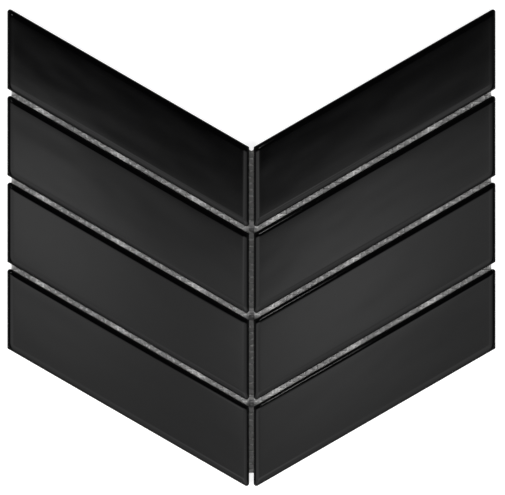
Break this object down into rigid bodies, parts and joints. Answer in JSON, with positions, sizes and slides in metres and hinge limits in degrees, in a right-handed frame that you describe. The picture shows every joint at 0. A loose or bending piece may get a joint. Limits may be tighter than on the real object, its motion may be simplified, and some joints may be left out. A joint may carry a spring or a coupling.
{
  "type": "chevron mosaic wall tile sheet",
  "caption": "Net-backed sheet of glossy black slanted wall tiles set in mirrored columns, so that rows of chevrons form when sheets are bonded side by side to a wall.",
  "frame": {"origin": "centre of the sheet's outline, on the underside of the backing net", "axes": "+X across the sheet, +Y towards the open end of the V, +Z from the back to the glazed face"},
  "size_m": [0.25, 0.2442, 0.0065],
  "materials": {
    "black_glaze": "glossy black glaze on porcelain, bare grey-buff body on the back",
    "glass_fibre_net": "resin-coated white glass-fibre yarn"
  },
  "bodies": {
    "root": {"tile_left_1": "black_glaze", "tile_left_2": "black_glaze", "tile_left_3": "black_glaze", "tile_left_4": "black_glaze", "tile_right_1": "black_glaze", "tile_right_2": "black_glaze", "tile_right_3": "black_glaze", "tile_right_4": "black_glaze", "net_warp_yarns": "glass_fibre_net", "net_weft_yarns": "glass_fibre_net"}
  },
  "joints": []
}
